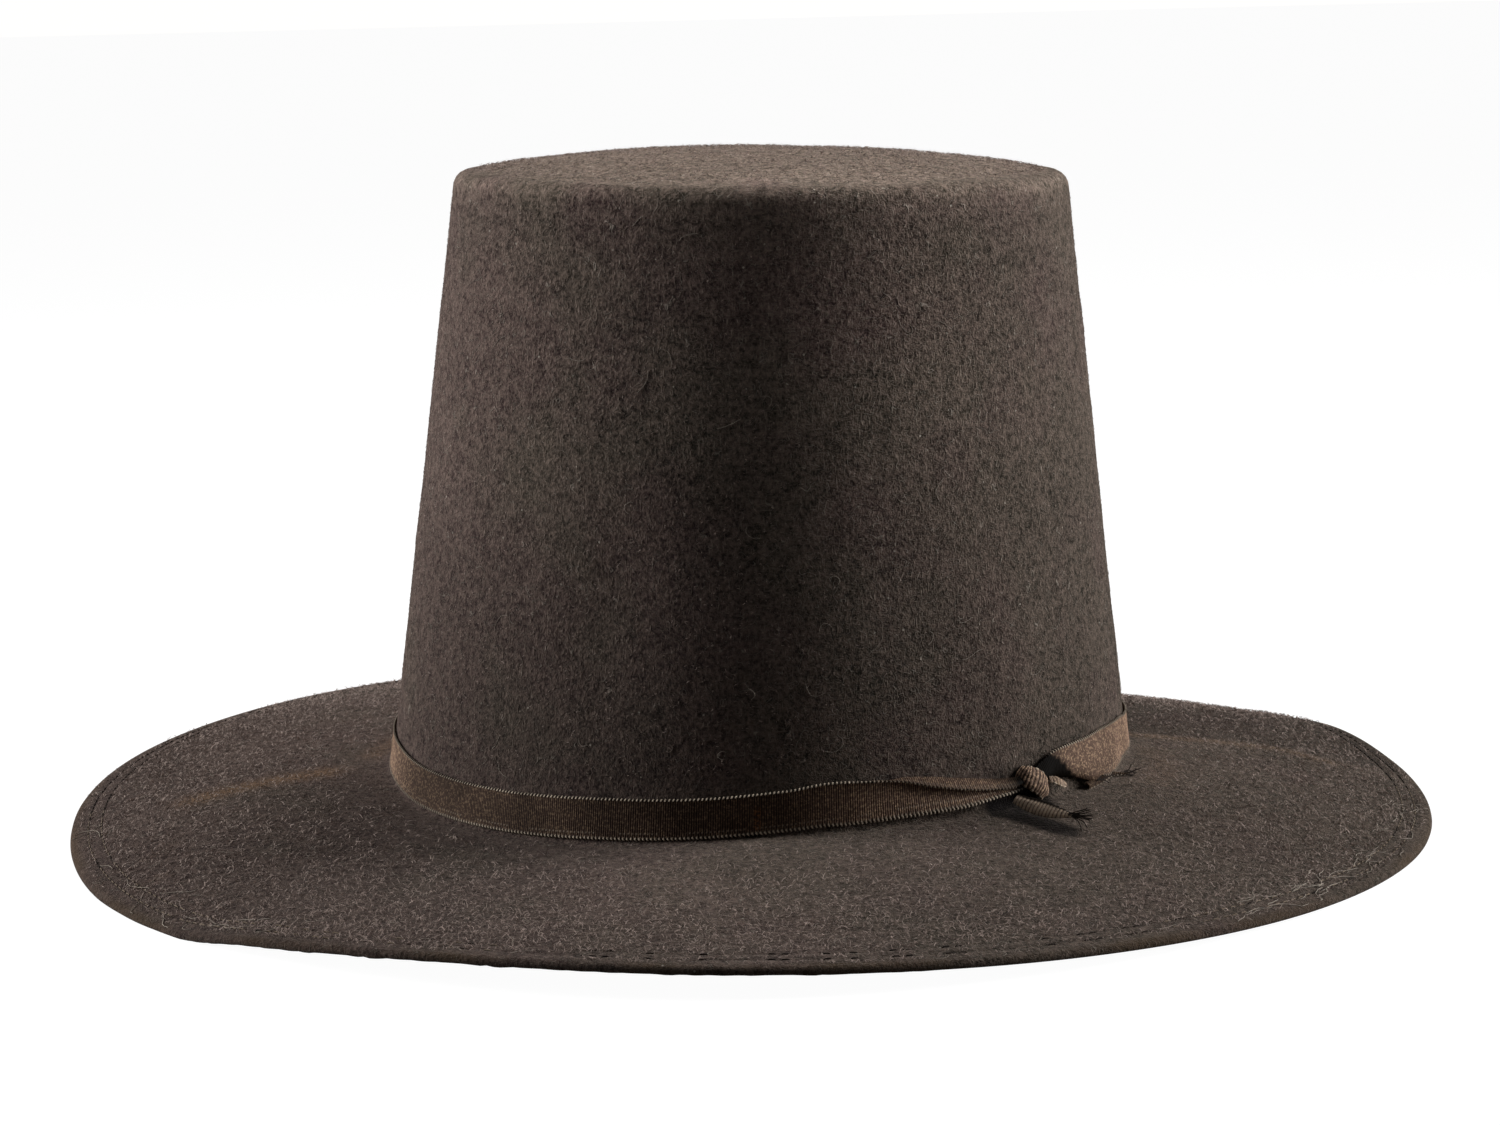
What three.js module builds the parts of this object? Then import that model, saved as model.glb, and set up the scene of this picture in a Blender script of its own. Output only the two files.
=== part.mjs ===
import * as THREE from 'three';

// Oval felt hat with a tall tapered crown, a wavy brim and a narrow ribbon tied at its side.
// Lengths are in millimetres, angles in degrees. +Z is up and the front of the hat is at -X.
// Angle 0 is at +X, the back of the hat, and angles count towards +Y. The ribbon's knot is on the -Y side.
// The columns of the tables hold shares of the named sizes, apart from angles.

// Crown and brim, one piece of felt, measured on the outside
const feltThickness = 2.2;
const crownHeight = 160;
const crownLength = 200.4;
const crownWidth = 170.6;
const tipLength = 162.6;
const tipWidth = 135.4;
const tipRise = 5.6;
const tipCornerRadius = 4.3;
const breakRadius = 2;
const brimReach = 83.4;
const brimShift = -2.7;

// Waves of the felt: the break between crown and brim, the brim's edge, and the crest between the two
const breakWave = 4.5;
const brimDrop = 16.6;
const brimRows = [
  { angle: -180, breakLift: -0.1, edgeDrop: 0.76, crest: 0.14 },
  { angle: -166, breakLift: -0.42, edgeDrop: 0.93, crest: 0.26 },
  { angle: -153, breakLift: -0.85, edgeDrop: 1.0, crest: 0.28 },
  { angle: -140, breakLift: -0.93, edgeDrop: 0.95, crest: 0.22 },
  { angle: -129, breakLift: -0.87, edgeDrop: 0.67, crest: 0.1 },
  { angle: -112, breakLift: -0.55, edgeDrop: 0.41, crest: 0 },
  { angle: -90, breakLift: 0.15, edgeDrop: 0.35, crest: -0.02 },
  { angle: -65, breakLift: 0.65, edgeDrop: 0.39, crest: 0.02 },
  { angle: -40, breakLift: 0.85, edgeDrop: 0.46, crest: 0.02 },
  { angle: -12, breakLift: 0.95, edgeDrop: 0.53, crest: 0.03 },
  { angle: 8, breakLift: 0.75, edgeDrop: 0.46, crest: 0.08 },
  { angle: 21, breakLift: 0.65, edgeDrop: 0.375, crest: 0.14 },
  { angle: 34, breakLift: 0.6, edgeDrop: 0.6, crest: 0.12 },
  { angle: 50, breakLift: 0.5, edgeDrop: 0.81, crest: 0.12 },
  { angle: 68, breakLift: 0.45, edgeDrop: 0.84, crest: 0.12 },
  { angle: 95, breakLift: 0.35, edgeDrop: 0.7, crest: 0.1 },
  { angle: 128, breakLift: 0.15, edgeDrop: 0.54, crest: 0.08 },
  { angle: 158, breakLift: 0, edgeDrop: 0.61, crest: 0.1 },
];

// Soft dents in the side of the crown, placed and spread as shares of its height
const dentDepth = 0.9;
const dentRows = [
  { angle: -113, height: 0.4, spread: 0.06, depth: 1 },
  { angle: -116, height: 0.29, spread: 0.05, depth: 0.8 },
  { angle: -64, height: 0.3, spread: 0.09, depth: 0.5 },
  { angle: 40, height: 0.55, spread: 0.12, depth: 0.9 },
  { angle: 142, height: 0.4, spread: 0.1, depth: 0.7 },
];

// Where the brim rests, how deep its lower face is pressed flat there, and how far in from the edge
const restAngles = [-153, 66, -16];
const restPress = 0.6;
const restRim = 1.4;

// Ribbon round the base of the crown, lifted and gathered towards its knot
const clearance = 0.3;
const ribbonWidth = 9.8;
const ribbonThickness = 0.6;
const ribbonFoot = 1.2;
const ribbonLift = 3;
const gatherRows = [
  { angle: -180, lift: 0, width: 1, bulk: 1 },
  { angle: -100, lift: 0, width: 1, bulk: 1 },
  { angle: -84, lift: 0.05, width: 1, bulk: 1 },
  { angle: -72, lift: 0.3, width: 0.96, bulk: 1.1 },
  { angle: -62, lift: 0.6, width: 0.66, bulk: 1.5 },
  { angle: -54, lift: 0.85, width: 0.5, bulk: 1.9 },
  { angle: -46, lift: 0.95, width: 0.44, bulk: 2.2 },
  { angle: -38, lift: 0.85, width: 0.7, bulk: 1.8 },
  { angle: -29, lift: 0.65, width: 0.98, bulk: 1.3 },
  { angle: -15, lift: 0.3, width: 1, bulk: 1 },
  { angle: 0, lift: 0, width: 1, bulk: 1 },
  { angle: 100, lift: 0, width: 1, bulk: 1 },
];

// Knot
const knotAngle = -47.5;
const knotLength = 11;
const knotHeight = 8.4;
const knotDepth = 5;
const knotBack = 0.3;
const knotTilt = -24;
const knotFoldDepth = 0.45;
const knotFolds = 3;
const knotFoldSlant = 3;

// Free ends of the ribbon
const tailThickness = 1;
const lowerTailLength = 15;
const lowerTailWidth = 6.6;
const lowerTailAngle = -51.5;
const lowerTailRows = [
  { along: 0.02, out: 0.2, lift: 0.22, width: 0.45, roll: 10 },
  { along: 0.1, out: 0.7, lift: 0.22, width: 1, roll: 15 },
  { along: 0.18, out: 0.96, lift: 0.23, width: 0.85, roll: 15 },
  { along: 0.28, out: 1.22, lift: 0.22, width: 0.3, roll: 0 },
];
const upperTailLength = 27;
const upperTailWidth = 2.4;
const upperTailAngle = -37;
const upperTailRows = [
  { along: 0, out: 0.13, lift: 0.09, width: 1, roll: 60 },
  { along: 0.3, out: 0.11, lift: 0.055, width: 1, roll: 35 },
  { along: 0.65, out: 0.11, lift: 0.045, width: 0.8, roll: 20 },
  { along: 1, out: 0.15, lift: 0.04, width: 0.4, roll: 10 },
];

// Numbers of facets
const turnSteps = 72;
const tipRings = 5;
const cornerRings = 4;
const sideRings = 7;
const breakRings = 4;
const brimRings = 8;
const ribbonSteps = 90;
const ribbonRows = 3;
const knotSides = 16;
const knotRings = 12;
const tailSteps = 8;
const tailSides = 8;

const { lerp, euclideanModulo, degToRad } = THREE.MathUtils;

// Value of a column at any angle, on a smooth curve through the rows and round the hat.
function around(rows, column, angle) {
  const count = rows.length;
  const turn = euclideanModulo(angle - rows[0].angle, 360) + rows[0].angle;
  const index = rows.findLastIndex((row) => row.angle <= turn);
  const [before, from, to, after] = [-1, 0, 1, 2].map((step) => {
    const lap = Math.floor((index + step) / count);
    const row = rows[index + step - lap * count];
    return { angle: row.angle + 360 * lap, value: row[column] };
  });
  const span = to.angle - from.angle;
  const share = (turn - from.angle) / span;
  const slopeFrom = ((to.value - before.value) / (to.angle - before.angle)) * span;
  const slopeTo = ((after.value - from.value) / (after.angle - from.angle)) * span;
  return hermite(from.value, to.value, slopeFrom, slopeTo, share);
}

function hermite(from, to, slopeFrom, slopeTo, share) {
  const cubic = slopeFrom + slopeTo - 2 * (to - from);
  const square = 3 * (to - from) - 2 * slopeFrom - slopeTo;
  return from + share * (slopeFrom + share * (square + share * cubic));
}

function ovalPoint(angle, semiLength, semiWidth, height, shift = 0) {
  const turn = degToRad(angle);
  return new THREE.Vector3(semiLength * Math.cos(turn) + shift, semiWidth * Math.sin(turn), height);
}

function turnAngles(count) {
  return Array.from({ length: count }, (_, step) => -180 + (360 * step) / count);
}

function breakHeight(angle) {
  return breakWave * around(brimRows, 'breakLift', angle);
}

// Half length and half width of the crown's straight side at a height.
function crownSemi(height) {
  const share = height / (crownHeight - tipCornerRadius);
  return { x: lerp(crownLength, tipLength, share) / 2, y: lerp(crownWidth, tipWidth, share) / 2 };
}

// How far the side of the crown curves out, close above the break.
function flare(lift) {
  const left = Math.max(breakRadius - lift, 0);
  return breakRadius - Math.sqrt(breakRadius ** 2 - left ** 2);
}

function dent(angle, height) {
  const depths = dentRows.map((row) => {
    const turn = euclideanModulo(angle - row.angle + 180, 360) - 180;
    const sideways = (degToRad(turn) * crownWidth) / 2;
    const upwards = height - row.height * crownHeight;
    const spread = row.spread * crownHeight;
    return row.depth * Math.exp(-(sideways ** 2 + upwards ** 2) / spread ** 2);
  });
  return dentDepth * depths.reduce((sum, depth) => sum + depth, 0);
}

// Point a lift above the break, and a distance out from the side of the crown.
function sidePoint(angle, lift, out = 0) {
  const height = breakHeight(angle) + lift;
  const semi = crownSemi(height);
  const step = 0.01;
  const lean = (crownSemi(height + step).x + flare(lift + step) - semi.x - flare(lift)) / step;
  const length = Math.hypot(1, lean);
  const grow = flare(lift) - dent(angle, height) + out / length;
  return ovalPoint(angle, semi.x + grow, semi.y + grow, height - (out * lean) / length);
}

// Point on the upper face of the brim, a share of the way from the break to the edge.
function brimPoint(angle, share) {
  const semi = crownSemi(breakHeight(angle));
  const edge = -brimDrop * around(brimRows, 'edgeDrop', angle);
  const crest = 4 * brimDrop * around(brimRows, 'crest', angle) * share * (1 - share);
  const out = lerp(breakRadius, brimReach, share);
  const height = lerp(breakHeight(angle), edge, share) + crest;
  const semiLength = lerp(semi.x, crownLength / 2, share) + out;
  const semiWidth = lerp(semi.y, crownWidth / 2, share) + out;
  return ovalPoint(angle, semiLength, semiWidth, height, brimShift * share);
}

// Closed surface over rings of points: from a first to a last point, or joined end to end without them.
function skin(rings, first, last) {
  const count = rings[0].length;
  const joints = first ? rings.length - 1 : rings.length;
  const points = rings.flat();
  const faces = [];
  for (let ring = 0; ring < joints; ring += 1) {
    for (let step = 0; step < count; step += 1) {
      const side = (step + 1) % count;
      const next = (ring + 1) % rings.length;
      const near = [ring * count + step, ring * count + side];
      const far = [next * count + step, next * count + side];
      faces.push(near[0], far[0], near[1], near[1], far[0], far[1]);
    }
  }
  if (first) {
    const end = points.length - count;
    const [firstIndex, lastIndex] = [points.length, points.length + 1];
    points.push(first, last);
    for (let step = 0; step < count; step += 1) {
      const side = (step + 1) % count;
      faces.push(firstIndex, step, side);
      faces.push(lastIndex, end + side, end + step);
    }
  }
  const geometry = new THREE.BufferGeometry().setFromPoints(points);
  geometry.setIndex(faces);
  geometry.computeVertexNormals();
  return geometry;
}

function middle(ring) {
  return ring.reduce((sum, point) => sum.add(point), new THREE.Vector3()).divideScalar(ring.length);
}

// Rings on the outer and upper face of the felt, from the middle of the tip to the edge of the brim.
function upperRings() {
  const angles = turnAngles(turnSteps);
  const rings = [];
  const addRing = (pointAt) => rings.push(angles.map(pointAt));
  const flat = { x: tipLength / 2 - tipCornerRadius, y: tipWidth / 2 - tipCornerRadius };
  for (let ring = 1; ring <= tipRings; ring += 1) {
    const share = ring / tipRings;
    const height = crownHeight + tipRise * (1 - share ** 2);
    addRing((angle) => ovalPoint(angle, flat.x * share, flat.y * share, height));
  }
  for (let ring = 1; ring < cornerRings; ring += 1) {
    const bend = degToRad((90 * ring) / cornerRings);
    const grow = tipCornerRadius * Math.sin(bend);
    const height = crownHeight - tipCornerRadius * (1 - Math.cos(bend));
    addRing((angle) => ovalPoint(angle, flat.x + grow, flat.y + grow, height));
  }
  for (let ring = 0; ring < sideRings; ring += 1) {
    const share = ring / sideRings;
    addRing((angle) => {
      const top = crownHeight - tipCornerRadius - breakHeight(angle);
      return sidePoint(angle, lerp(top, breakRadius, share));
    });
  }
  for (let ring = 0; ring < breakRings; ring += 1) {
    const bend = degToRad((90 * ring) / breakRings);
    addRing((angle) => sidePoint(angle, breakRadius * (1 - Math.sin(bend))));
  }
  for (let ring = 0; ring < brimRings; ring += 1) {
    addRing((angle) => brimPoint(angle, (ring / brimRings) * (1 - restRim / brimReach)));
  }
  addRing((angle) => brimPoint(angle, 1 - restRim / brimReach));
  addRing((angle) => brimPoint(angle, 1));
  return rings;
}

// Rings on the inner and lower face, one felt thickness below the others.
function lowerRings(rings, top) {
  return rings.map((ring, index) => ring.map((point, step) => {
    const above = index > 0 ? rings[index - 1][step] : top;
    const below = rings[index + 1] ? rings[index + 1][step] : point;
    const down = below.clone().sub(above);
    const along = ring[(step + 1) % ring.length].clone().sub(ring.at(step - 1));
    const normal = down.cross(along).normalize();
    return point.clone().addScaledVector(normal, -feltThickness);
  }));
}

// Plane that the brim's lower face rests on, pressed a little way into it.
function restPlane() {
  const points = restAngles.map((angle) => brimPoint(angle, 1).setZ(brimPoint(angle, 1).z - feltThickness));
  const plane = new THREE.Plane().setFromCoplanarPoints(...points);
  if (plane.normal.z < 0) plane.negate();
  return plane.translate(plane.normal.clone().multiplyScalar(restPress));
}

function feltBody() {
  const upper = upperRings();
  const top = new THREE.Vector3(0, 0, crownHeight + tipRise);
  const underTop = top.clone().setZ(top.z - feltThickness);
  const floor = restPlane();
  const lower = lowerRings(upper, top).map((ring) => ring.map((point) => {
    const height = floor.distanceToPoint(point);
    return height < 0 ? floor.projectPoint(point, new THREE.Vector3()) : point;
  }));
  return skin([...upper, ...lower.reverse()], top, underTop);
}

// Level at which the ribbon's lower edge runs above the break.
function ribbonLow(angle) {
  return ribbonFoot + ribbonLift * around(gatherRows, 'lift', angle);
}

function ribbonBand() {
  const sections = turnAngles(ribbonSteps).map((angle) => {
    const width = ribbonWidth * around(gatherRows, 'width', angle);
    const outer = clearance + ribbonThickness * around(gatherRows, 'bulk', angle);
    const low = ribbonLow(angle);
    const lifts = Array.from({ length: ribbonRows + 1 }, (_, row) => low + (width * row) / ribbonRows);
    const front = lifts.map((lift) => sidePoint(angle, lift, outer));
    const back = lifts.map((lift) => sidePoint(angle, lift, clearance));
    return [...front, ...back.reverse()];
  });
  return skin(sections);
}

// Rounded lump with slanting folds, flatter at its back, in front of the gathered ribbon.
function ribbonKnot() {
  const bandWidth = ribbonWidth * around(gatherRows, 'width', knotAngle);
  const bandBulk = ribbonThickness * around(gatherRows, 'bulk', knotAngle);
  const lift = ribbonLow(knotAngle) + bandWidth / 2;
  const out = 2 * clearance + bandBulk + knotBack * knotDepth;
  const centre = sidePoint(knotAngle, lift, out);
  const along = sidePoint(knotAngle + 1, lift, out).sub(sidePoint(knotAngle - 1, lift, out)).normalize();
  const outward = sidePoint(knotAngle, lift, out + 1).sub(centre).normalize();
  const upward = new THREE.Vector3().crossVectors(along, outward).normalize();
  const frame = new THREE.Matrix4().makeBasis(along, outward, upward).setPosition(centre);
  frame.multiply(new THREE.Matrix4().makeRotationY(degToRad(-knotTilt)));
  const rings = [];
  for (let ring = 1; ring < knotRings; ring += 1) {
    const place = -Math.cos((Math.PI * ring) / knotRings);
    const reach = Math.sqrt(1 - place ** 2);
    const points = [];
    for (let side = 0; side < knotSides; side += 1) {
      const turn = (2 * Math.PI * side) / knotSides;
      const [across, front] = [Math.cos(turn), Math.sin(turn)];
      const wave = 1 + Math.cos(2 * knotFolds * turn + knotFoldSlant * place);
      const fold = 1 - (knotFoldDepth / knotHeight) * wave;
      const depth = knotDepth * (front > 0 ? (1 - knotBack) * fold : knotBack);
      const height = (across * reach * fold * knotHeight) / 2;
      const local = new THREE.Vector3((place * knotLength) / 2, front * reach * depth, height);
      points.push(local.applyMatrix4(frame));
    }
    rings.push(points);
  }
  const ends = [-1, 1].map((end) => new THREE.Vector3((end * knotLength) / 2, 0, 0).applyMatrix4(frame));
  return skin(rings, ends[0], ends[1]);
}

// Value of a column along a tail, on a smooth curve through its rows.
function alongTail(rows, column, share) {
  const curve = new THREE.SplineCurve(rows.map((row) => new THREE.Vector2(row.along, row[column])));
  return curve.getPoint(share);
}

// Flat strip that lies over the brim, close to the crown.
function ribbonTail(rows, startAngle, length, width) {
  const radius = sidePoint(startAngle, 0).length();
  const centreAt = (share) => {
    const turn = THREE.MathUtils.radToDeg((alongTail(rows, 'out', share).x * length) / radius);
    const out = alongTail(rows, 'out', share).y * length;
    const surface = brimPoint(startAngle + turn, (out - breakRadius) / (brimReach - breakRadius));
    return surface.setZ(surface.z + alongTail(rows, 'lift', share).y * length);
  };
  const step = 0.01;
  const sections = [];
  for (let index = 0; index <= tailSteps; index += 1) {
    const share = index / tailSteps;
    const centre = centreAt(share);
    const forward = centreAt(Math.min(share + step, 1)).sub(centreAt(Math.max(share - step, 0))).normalize();
    const roll = degToRad(alongTail(rows, 'roll', share).y);
    const across = new THREE.Vector3(0, 0, 1).cross(forward).normalize().applyAxisAngle(forward, roll);
    const face = across.clone().cross(forward);
    const half = (width * alongTail(rows, 'width', share).y) / 2;
    sections.push(Array.from({ length: tailSides }, (_, side) => {
      const turn = (2 * Math.PI * side) / tailSides;
      const point = centre.clone().addScaledVector(across, half * Math.cos(turn));
      return point.addScaledVector(face, (tailThickness / 2) * Math.sin(turn));
    }));
  }
  return skin(sections, middle(sections[0]), middle(sections.at(-1)));
}

const feltFinish = { color: 0x2b2521, roughness: 0.95, metalness: 0 };
const ribbonFinish = { color: 0x3a2f27, roughness: 0.75, metalness: 0 };

function piece(name, geometry, finish) {
  const mesh = new THREE.Mesh(geometry, new THREE.MeshStandardMaterial(finish));
  mesh.name = name;
  return mesh;
}

const lowerTail = ribbonTail(lowerTailRows, lowerTailAngle, lowerTailLength, lowerTailWidth);
const upperTail = ribbonTail(upperTailRows, upperTailAngle, upperTailLength, upperTailWidth);

// The hat is built with its crown upright, then leaned so that the brim's rest points are level.
const upright = new THREE.Group();
upright.add(
  piece('felt_body', feltBody(), feltFinish),
  piece('ribbon_band', ribbonBand(), ribbonFinish),
  piece('ribbon_knot', ribbonKnot(), ribbonFinish),
  piece('ribbon_tail_lower', lowerTail, ribbonFinish),
  piece('ribbon_tail_upper', upperTail, ribbonFinish),
);
upright.quaternion.setFromUnitVectors(restPlane().normal, new THREE.Vector3(0, 0, 1));

// The origin is on the rest surface, under the middle of the hat.
const hat = new THREE.Group();
hat.add(upright);
hat.updateMatrixWorld(true);
const box = new THREE.Box3().setFromObject(hat, true);
const centre = box.getCenter(new THREE.Vector3());
hat.position.set(-centre.x, -centre.y, -box.min.z);

export default hat;
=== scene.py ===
import bpy
import bmesh
import math
import random
from mathutils import Matrix, Vector, noise


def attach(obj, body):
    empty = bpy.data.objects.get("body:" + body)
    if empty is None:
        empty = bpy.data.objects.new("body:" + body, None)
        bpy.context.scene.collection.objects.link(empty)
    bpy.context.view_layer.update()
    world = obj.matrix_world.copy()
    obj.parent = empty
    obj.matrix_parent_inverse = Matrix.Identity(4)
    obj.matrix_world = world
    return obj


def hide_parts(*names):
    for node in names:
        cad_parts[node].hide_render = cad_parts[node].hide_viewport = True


# Oval felt hat, drawn with its crown upright in millimetres, then leaned onto its rest points.
# Angle 0 is the back of the hat (+X), -90 is the side with the knot, 180 is the front (-X).

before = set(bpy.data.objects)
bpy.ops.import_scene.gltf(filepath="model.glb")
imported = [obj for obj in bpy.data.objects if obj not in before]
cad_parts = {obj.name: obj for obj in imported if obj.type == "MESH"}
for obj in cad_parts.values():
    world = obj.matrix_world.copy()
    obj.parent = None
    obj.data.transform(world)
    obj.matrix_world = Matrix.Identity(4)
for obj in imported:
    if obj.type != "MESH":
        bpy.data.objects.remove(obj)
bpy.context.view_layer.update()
random.seed(7)

hat = {
    "feltThickness": 2.2,
    "crownHeight": 160.0,
    "crownHalf": (100.2, 85.3),      # half length and half width at the base of the crown
    "tipHalf": (81.3, 67.7),         # the same at the tip
    "tipRise": 5.6,
    "cornerRadius": 4.3,
    "breakRadius": 2.0,
    "brimReach": 83.4,
    "brimShift": -2.7,
    "breakWave": 4.5,
    "brimDrop": 16.6,
    "restNormal": (-0.024287, 0.013879, 0.999609),
    "restShift": (2.952831, -0.123655, 15.21697),
}

lean = Vector(hat["restNormal"]).rotation_difference(Vector((0, 0, 1))).to_matrix().to_4x4()
toRow = Matrix.Translation(hat["restShift"]) @ lean
toMetres = Matrix.Scale(0.001, 4) @ toRow


# Helpers

def mix(start, end, share):
    return start + (end - start) * share


def clamp(value, low=0.0, high=1.0):
    return max(low, min(high, value))


def smooth(low, high, value):
    share = clamp((value - low) / (high - low))
    return share * share * (3 - 2 * share)


def hermite(before, start, end, after, spanBefore, span, spanAfter, share):
    slopeStart = (end - before) / (spanBefore + span) * span
    slopeEnd = (after - start) / (span + spanAfter) * span
    cubic = slopeStart + slopeEnd - 2 * (end - start)
    square = 3 * (end - start) - 2 * slopeStart - slopeEnd
    return start + share * (slopeStart + share * (square + share * cubic))


# Value of a column of a table at any angle, smooth all the way round.
def around(rows, column, angle):
    count = len(rows)
    turn = (angle - rows[0]["angle"]) % 360 + rows[0]["angle"]
    index = max(i for i, row in enumerate(rows) if row["angle"] <= turn + 1e-9)
    near = []
    for step in (-1, 0, 1, 2):
        lap, place = divmod(index + step, count)
        near.append((rows[place]["angle"] + 360 * lap, rows[place][column]))
    share = (turn - near[1][0]) / (near[2][0] - near[1][0])
    spans = [near[i + 1][0] - near[i][0] for i in range(3)]
    return hermite(*(value for place, value in near), *spans, share)


# Value on a smooth line through a few values, share 0 to 1.
def valueAt(values, share):
    last = len(values) - 1
    place = clamp(share) * last
    index = min(int(place), last - 1)
    near = [values[max(index - 1, 0)], values[index], values[index + 1], values[min(index + 2, last)]]
    return hermite(*near, 1, 1, 1, place - index)


def along(points, share):
    return Vector([valueAt(column, share) for column in zip(*points)])


def lineTo(bm, vert, target, pieces=1):
    start = vert.co.copy()
    for piece in range(1, pieces + 1):
        vert = bmesh.ops.extrude_vert_indiv(bm, verts=[vert])["verts"][0]
        vert.co = start.lerp(Vector((target[0], 0, target[1])), piece / pieces)
    return vert


def arcTo(bm, vert, centre, degrees, steps):
    turned = bmesh.ops.spin(bm, geom=[vert], cent=(centre[0], 0, centre[1]), axis=(0, 1, 0),
                            angle=math.radians(degrees), steps=steps)
    return next(item for item in turned["geom_last"] if isinstance(item, bmesh.types.BMVert))


# Full turn of a profile: a short arc is spun, then doubled with turned copies until it closes.
def spinRound(bm, steps):
    doublings = 0
    while steps % 2 == 0 and steps > 64:
        steps //= 2
        doublings += 1
    arc = math.tau / 2 ** doublings
    profile = bm.verts[:] + bm.edges[:]
    bmesh.ops.spin(bm, geom=profile, cent=(0, 0, 0), axis=(0, 0, 1), angle=arc, steps=steps)
    for doubling in range(doublings):
        copied = bmesh.ops.duplicate(bm, geom=bm.verts[:] + bm.edges[:] + bm.faces[:])
        moved = [item for item in copied["geom"] if isinstance(item, bmesh.types.BMVert)]
        turned = Matrix.Rotation(arc * 2 ** doubling, 3, "Z")
        bmesh.ops.rotate(bm, cent=(0, 0, 0), matrix=turned, verts=moved)
    bmesh.ops.remove_doubles(bm, verts=bm.verts, dist=0.001)
    bmesh.ops.recalc_face_normals(bm, faces=bm.faces)


def turnOf(co):
    return math.degrees(math.atan2(co.y, co.x))


def smallVector(reach):
    return Vector([random.uniform(-reach, reach) for axis in range(3)])


def link(name, data):
    thing = bpy.data.objects.new(name, data)
    bpy.context.scene.collection.objects.link(thing)
    return thing


def finishPiece(bm, name, material, replaced):
    bmesh.ops.transform(bm, matrix=toMetres, verts=bm.verts)
    mesh = bpy.data.meshes.new(name)
    bm.to_mesh(mesh)
    bm.free()
    mesh.polygons.foreach_set("use_smooth", [True] * len(mesh.polygons))
    mesh.materials.append(material)
    dress(link(name, mesh), replaced)
    print(name, len(mesh.polygons), "faces")


def dress(piece, replaced=()):
    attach(piece, "root")
    if replaced:
        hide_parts(*replaced)


# Shape of the felt

brimRows = [
    {"angle": -180, "break": -0.1, "drop": 0.76, "crest": 0.14},
    {"angle": -166, "break": -0.42, "drop": 0.93, "crest": 0.26},
    {"angle": -153, "break": -0.85, "drop": 1.0, "crest": 0.28},
    {"angle": -140, "break": -0.93, "drop": 0.95, "crest": 0.22},
    {"angle": -129, "break": -0.87, "drop": 0.67, "crest": 0.1},
    {"angle": -112, "break": -0.55, "drop": 0.41, "crest": 0.0},
    {"angle": -90, "break": 0.15, "drop": 0.35, "crest": -0.02},
    {"angle": -65, "break": 0.65, "drop": 0.39, "crest": 0.02},
    {"angle": -40, "break": 0.85, "drop": 0.46, "crest": 0.02},
    {"angle": -12, "break": 0.95, "drop": 0.53, "crest": 0.03},
    {"angle": 8, "break": 0.75, "drop": 0.46, "crest": 0.08},
    {"angle": 21, "break": 0.65, "drop": 0.375, "crest": 0.14},
    {"angle": 34, "break": 0.6, "drop": 0.6, "crest": 0.12},
    {"angle": 50, "break": 0.5, "drop": 0.81, "crest": 0.12},
    {"angle": 68, "break": 0.45, "drop": 0.84, "crest": 0.12},
    {"angle": 95, "break": 0.35, "drop": 0.7, "crest": 0.1},
    {"angle": 128, "break": 0.15, "drop": 0.54, "crest": 0.08},
    {"angle": 158, "break": 0.0, "drop": 0.61, "crest": 0.1},
]
dentRows = [
    {"angle": -113, "height": 64, "spread": 9.6, "depth": 0.9},
    {"angle": -116, "height": 46, "spread": 8.0, "depth": 0.72},
    {"angle": -64, "height": 48, "spread": 14.4, "depth": 0.45},
    {"angle": 40, "height": 88, "spread": 19.2, "depth": 0.81},
    {"angle": 142, "height": 64, "spread": 16.0, "depth": 0.63},
]
felt = {
    "steps": 720,                  # two to each stitch
    "stitchRows": (4.6, 8.0),      # distance of the stitching from the edge
    "stitchDip": 0.22,
    "wrinkleDepth": 0.22,
    "wrinkleScale": 0.045,
    "dimpleScale": 0.13,
    "creaseDepth": 0.12,           # level creases of the crown's side
    "puckersToRadian": 176 / 6.2,  # one each 6.2 mm of the edge
    "puckerDepth": 0.5,
}
sideTop = hat["crownHeight"] - hat["cornerRadius"]
flatTip = hat["tipHalf"][0] - hat["cornerRadius"]
crownBase = hat["crownHalf"][0]
edgeRadius = crownBase + hat["brimReach"]
sideSlope = [(hat["tipHalf"][i] - hat["crownHalf"][i]) / sideTop for i in (0, 1)]
baseOval = hat["crownHalf"][0] - hat["crownHalf"][1]
tipOval = hat["tipHalf"][0] - hat["tipHalf"][1]


def brimWave(angle):
    lift = hat["breakWave"] * around(brimRows, "break", angle)
    edge = -hat["brimDrop"] * around(brimRows, "drop", angle)
    crest = 4 * hat["brimDrop"] * around(brimRows, "crest", angle)
    return lift, edge, crest


waves = [brimWave(360 * step / felt["steps"]) for step in range(felt["steps"])]


def waveAt(angle):
    return waves[round(angle / 360 * felt["steps"]) % felt["steps"]]


def dentAt(angle, height):
    depth = 0.0
    for row in dentRows:
        turn = (angle - row["angle"] + 180) % 360 - 180
        sideways = math.radians(turn) * hat["crownHalf"][1]
        spread = ((height - row["height"]) ** 2 + sideways ** 2) / row["spread"] ** 2
        if spread < 9:
            depth += row["depth"] * math.exp(-spread)
    return depth


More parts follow.
